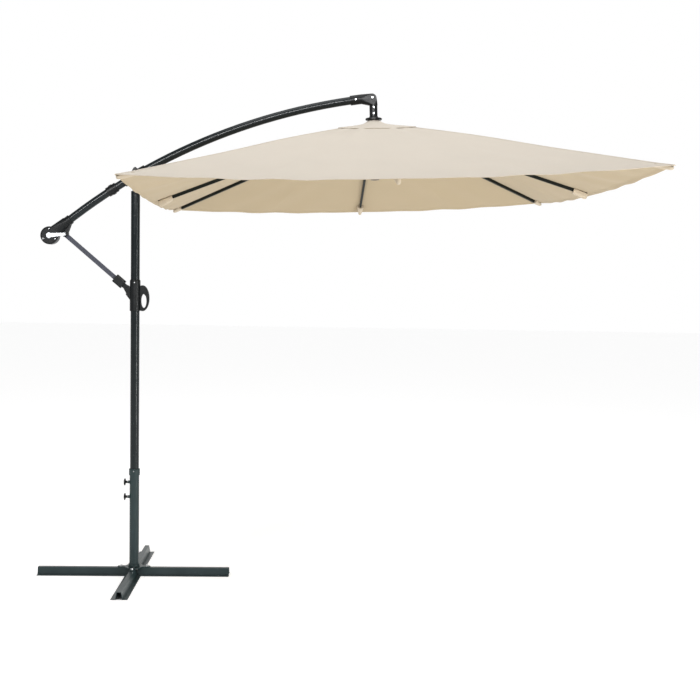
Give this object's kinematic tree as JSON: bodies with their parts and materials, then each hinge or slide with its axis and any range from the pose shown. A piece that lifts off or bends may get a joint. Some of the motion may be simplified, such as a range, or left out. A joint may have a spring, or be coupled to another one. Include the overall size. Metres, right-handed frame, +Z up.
{
  "type": "cantilever parasol",
  "caption": "Cantilever garden parasol: square cream canopy hung from an arched boom on a side pole with a crank, tilt strut, sliding grip and cross base.",
  "frame": {"origin": "on the pole axis, on the floor under the crossing of the base bars", "axes": "+X from the pole towards the canopy, +Y to the back of the canopy, +Z up"},
  "size_m": [3.189, 2.5954, 2.7561],
  "materials": {
    "base_paint": "satin powder coat, dark green-grey",
    "pole_paint": "satin powder coat, anthracite",
    "boom_paint": "satin powder coat, anthracite",
    "strut_paint": "satin powder coat, grey",
    "rib_paint": "satin powder coat, black",
    "black_plastic": "matt moulded plastic, black",
    "zinc": "zinc plated",
    "crank_metal": "cast, bright satin",
    "cord": "braided",
    "canopy_cloth": "plain woven polyester, cream"
  },
  "bodies": {
    "base": {"cross_bar_x": "base_paint", "cross_bar_y": "base_paint", "foot_plate": "base_paint", "foot_bolts": "zinc", "lower_tube": "base_paint", "tube_collar": "base_paint"},
    "upper_stud": {"upper_screw_stud": "zinc"},
    "upper_knob": {"upper_screw_knob": "black_plastic"},
    "lower_stud": {"lower_screw_stud": "zinc"},
    "lower_knob": {"lower_screw_knob": "black_plastic"},
    "mast": {"upper_pole": "pole_paint", "pole_head": "black_plastic", "head_pin": "zinc"},
    "carriage": {"carriage_sleeve": "black_plastic", "carriage_cap": "black_plastic", "grip_loop": "black_plastic"},
    "trigger": {"release_trigger": "black_plastic"},
    "strut": {"strut_bar": "strut_paint", "strut_sleeve": "black_plastic"},
    "boom": {"strut_pin": "zinc", "boom_tube": "boom_paint", "head_clamp": "black_plastic", "boom_collar": "black_plastic", "rear_socket": "black_plastic", "winch_housing": "black_plastic", "winch_cover": "black_plastic", "elbow": "black_plastic", "boom_screws": "zinc", "lift_cord": "cord", "top_hub": "black_plastic", "hub_flange": "black_plastic"},
    "pulley": {"cord_pulley": "black_plastic"},
    "winch": {"cord_drum": "black_plastic", "crank_arm": "crank_metal"},
    "crank_grip": {"crank_knob": "black_plastic"},
    "runner": {"runner": "black_plastic"},
    "rib_right": {"rib_right": "rib_paint", "panel_right": "canopy_cloth"},
    "stretcher_right": {"stretcher_right": "rib_paint"},
    "rib_back_right": {"rib_back_right": "rib_paint", "panel_back_right": "canopy_cloth"},
    "stretcher_back_right": {"stretcher_back_right": "rib_paint"},
    "rib_back": {"rib_back": "rib_paint", "panel_back": "canopy_cloth"},
    "stretcher_back": {"stretcher_back": "rib_paint"},
    "rib_back_left": {"rib_back_left": "rib_paint", "panel_back_left": "canopy_cloth"},
    "stretcher_back_left": {"stretcher_back_left": "rib_paint"},
    "rib_left": {"rib_left": "rib_paint", "panel_left": "canopy_cloth"},
    "stretcher_left": {"stretcher_left": "rib_paint"},
    "rib_front_left": {"rib_front_left": "rib_paint", "panel_front_left": "canopy_cloth"},
    "stretcher_front_left": {"stretcher_front_left": "rib_paint"},
    "rib_front": {"rib_front": "rib_paint", "panel_front": "canopy_cloth"},
    "stretcher_front": {"stretcher_front": "rib_paint"},
    "rib_front_right": {"rib_front_right": "rib_paint", "panel_front_right": "canopy_cloth"},
    "stretcher_front_right": {"stretcher_front_right": "rib_paint"}
  },
  "joints": [
    {"name": "pole_swivel", "type": "hinge", "parent": "base", "child": "mast", "pos_m": [0, 0, 1], "axis": [0, 0, 1], "continuous": true},
    {"name": "upper_screw_out", "type": "slide", "parent": "base", "child": "upper_stud", "axis": [-1, 0, 0], "range_m": [0, 0.0038]},
    {"name": "upper_knob_turn", "type": "hinge", "parent": "upper_stud", "child": "upper_knob", "pos_m": [-0.05, 0, 0.536], "axis": [-1, 0, 0], "range_deg": [0, 1080]},
    {"name": "lower_screw_out", "type": "slide", "parent": "base", "child": "lower_stud", "axis": [-1, 0, 0], "range_m": [0, 0.0038]},
    {"name": "lower_knob_turn", "type": "hinge", "parent": "lower_stud", "child": "lower_knob", "pos_m": [-0.05, 0, 0.451], "axis": [-1, 0, 0], "range_deg": [0, 1080]},
    {"name": "boom_tilt", "type": "hinge", "parent": "mast", "child": "boom", "pos_m": [0, 0, 2.22], "axis": [0, 1, 0], "range_deg": [0, 20]},
    {"name": "strut_swing", "type": "hinge", "parent": "boom", "child": "strut", "pos_m": [-0.392, 0, 1.938], "axis": [0, 1, 0], "range_deg": [-37.75, 0]},
    {"name": "carriage_slide", "type": "slide", "parent": "mast", "child": "carriage", "axis": [0, 0, 1], "range_m": [0, 0.27006]},
    {"name": "trigger_pull", "type": "hinge", "parent": "carriage", "child": "trigger", "pos_m": [0.046, 0, 1.622], "axis": [0, -1, 0], "range_deg": [0, 6], "stiffness_Nm_per_rad": 0.4, "springref_deg": -5.73},
    {"name": "pulley_turn", "type": "hinge", "parent": "boom", "child": "pulley", "pos_m": [1.31228, 0, 2.73284], "axis": [0, 1, 0], "range_deg": [0, 1884.34]},
    {"name": "crank_turn", "type": "hinge", "parent": "boom", "child": "winch", "pos_m": [-0.4741, 0, 1.9304], "axis": [0, 1, 0], "range_deg": [0, 2110.59]},
    {"name": "crank_knob_spin", "type": "hinge", "parent": "winch", "child": "crank_grip", "pos_m": [-0.3691, -0.05, 1.9404], "axis": [0, 1, 0], "continuous": true},
    {"name": "runner_slide", "type": "slide", "parent": "boom", "child": "runner", "axis": [0.0401, 0, -0.9992], "range_m": [0, 0.46], "deforming": ["lift_cord"]},
    {"name": "right_rib_fold", "type": "hinge", "parent": "boom", "child": "rib_right", "pos_m": [1.37827, 0.0012, 2.58437], "axis": [-0.0262, 0.9997, -0.0011], "range_deg": [0, 66.82], "deforming": ["panel_right"]},
    {"name": "right_stretcher_swing", "type": "hinge", "parent": "rib_right", "child": "stretcher_right", "pos_m": [1.72635, 0.01018, 2.46238], "axis": [-0.0262, 0.9997, -0.0011], "range_deg": [-130.55, 0]},
    {"name": "back_right_rib_fold", "type": "hinge", "parent": "boom", "child": "rib_back_right", "pos_m": [1.36396, 0.03337, 2.5838], "axis": [-0.7248, 0.6884, -0.0291], "range_deg": [0, 73.52], "deforming": ["panel_back_right"]},
    {"name": "back_right_stretcher_swing", "type": "hinge", "parent": "rib_back_right", "child": "stretcher_back_right", "pos_m": [1.60122, 0.27973, 2.50208], "axis": [-0.7248, 0.6884, -0.0291], "range_deg": [-131.45, 0]},
    {"name": "back_rib_fold", "type": "hinge", "parent": "boom", "child": "rib_back", "pos_m": [1.33112, 0.04598, 2.58248], "axis": [-0.9989, -0.0262, -0.0401], "range_deg": [0, 66.82], "deforming": ["panel_back"]},
    {"name": "back_stretcher_swing", "type": "hinge", "parent": "rib_back", "child": "stretcher_back", "pos_m": [1.3276, 0.38889, 2.44636], "axis": [-0.9989, -0.0262, -0.0401], "range_deg": [-130.55, 0]},
    {"name": "back_left_rib_fold", "type": "hinge", "parent": "boom", "child": "rib_back_left", "pos_m": [1.29898, 0.03166, 2.58119], "axis": [-0.6878, -0.7254, -0.0276], "range_deg": [0, 73.52], "deforming": ["panel_back_left"]},
    {"name": "back_left_stretcher_swing", "type": "hinge", "parent": "rib_back_left", "child": "stretcher_back_left", "pos_m": [1.05648, 0.26545, 2.4802], "axis": [-0.6878, -0.7254, -0.0276], "range_deg": [-131.45, 0]},
    {"name": "left_rib_fold", "type": "hinge", "parent": "boom", "child": "rib_left", "pos_m": [1.28638, -0.0012, 2.58068], "axis": [0.0262, -0.9997, 0.0011], "range_deg": [0, 66.82], "deforming": ["panel_left"]},
    {"name": "left_stretcher_swing", "type": "hinge", "parent": "rib_left", "child": "stretcher_left", "pos_m": [0.9492, -0.01018, 2.43116], "axis": [0.0262, -0.9997, 0.0011], "range_deg": [-130.55, 0]},
    {"name": "front_left_rib_fold", "type": "hinge", "parent": "boom", "child": "rib_front_left", "pos_m": [1.30069, -0.03337, 2.58126], "axis": [0.7248, -0.6884, 0.0291], "range_deg": [0, 73.52], "deforming": ["panel_front_left"]},
    {"name": "front_left_stretcher_swing", "type": "hinge", "parent": "rib_front_left", "child": "stretcher_front_left", "pos_m": [1.07074, -0.27973, 2.48078], "axis": [0.7248, -0.6884, 0.0291], "range_deg": [-131.45, 0]},
    {"name": "front_rib_fold", "type": "hinge", "parent": "boom", "child": "rib_front", "pos_m": [1.33353, -0.04598, 2.58257], "axis": [0.9989, 0.0262, 0.0401], "range_deg": [0, 66.82], "deforming": ["panel_front"]},
    {"name": "front_stretcher_swing", "type": "hinge", "parent": "rib_front", "child": "stretcher_front", "pos_m": [1.34795, -0.38889, 2.44718], "axis": [0.9989, 0.0262, 0.0401], "range_deg": [-130.55, 0]},
    {"name": "front_right_rib_fold", "type": "hinge", "parent": "boom", "child": "rib_front_right", "pos_m": [1.36566, -0.03166, 2.58387], "axis": [0.6878, 0.7254, 0.0276], "range_deg": [0, 73.52], "deforming": ["panel_front_right"]},
    {"name": "front_right_stretcher_swing", "type": "hinge", "parent": "rib_front_right", "child": "stretcher_front_right", "pos_m": [1.61549, -0.26545, 2.50265], "axis": [0.6878, 0.7254, 0.0276], "range_deg": [-131.45, 0]}
  ],
  "couplings": [
    {"joint": "upper_screw_out", "follows": "upper_knob_turn", "m_per_rad": 0.00019894},
    {"joint": "lower_screw_out", "follows": "lower_knob_turn", "m_per_rad": 0.00019894},
    {"joint": "strut_swing", "follows": "boom_tilt", "ratio": -1.8852},
    {"joint": "carriage_slide", "follows": "boom_tilt", "m_per_rad": 0.77225},
    {"joint": "pulley_turn", "follows": "runner_slide", "rad_per_m": 71.429},
    {"joint": "crank_turn", "follows": "runner_slide", "rad_per_m": 80},
    {"joint": "right_rib_fold", "follows": "runner_slide", "rad_per_m": 2.5345},
    {"joint": "right_stretcher_swing", "follows": "runner_slide", "rad_per_m": -4.9526},
    {"joint": "back_right_rib_fold", "follows": "runner_slide", "rad_per_m": 2.7887},
    {"joint": "back_right_stretcher_swing", "follows": "runner_slide", "rad_per_m": -4.9866},
    {"joint": "back_rib_fold", "follows": "runner_slide", "rad_per_m": 2.5345},
    {"joint": "back_stretcher_swing", "follows": "runner_slide", "rad_per_m": -4.9526},
    {"joint": "back_left_rib_fold", "follows": "runner_slide", "rad_per_m": 2.7887},
    {"joint": "back_left_stretcher_swing", "follows": "runner_slide", "rad_per_m": -4.9866},
    {"joint": "left_rib_fold", "follows": "runner_slide", "rad_per_m": 2.5345},
    {"joint": "left_stretcher_swing", "follows": "runner_slide", "rad_per_m": -4.9526},
    {"joint": "front_left_rib_fold", "follows": "runner_slide", "rad_per_m": 2.7887},
    {"joint": "front_left_stretcher_swing", "follows": "runner_slide", "rad_per_m": -4.9866},
    {"joint": "front_rib_fold", "follows": "runner_slide", "rad_per_m": 2.5345},
    {"joint": "front_stretcher_swing", "follows": "runner_slide", "rad_per_m": -4.9526},
    {"joint": "front_right_rib_fold", "follows": "runner_slide", "rad_per_m": 2.7887},
    {"joint": "front_right_stretcher_swing", "follows": "runner_slide", "rad_per_m": -4.9866}
  ]
}
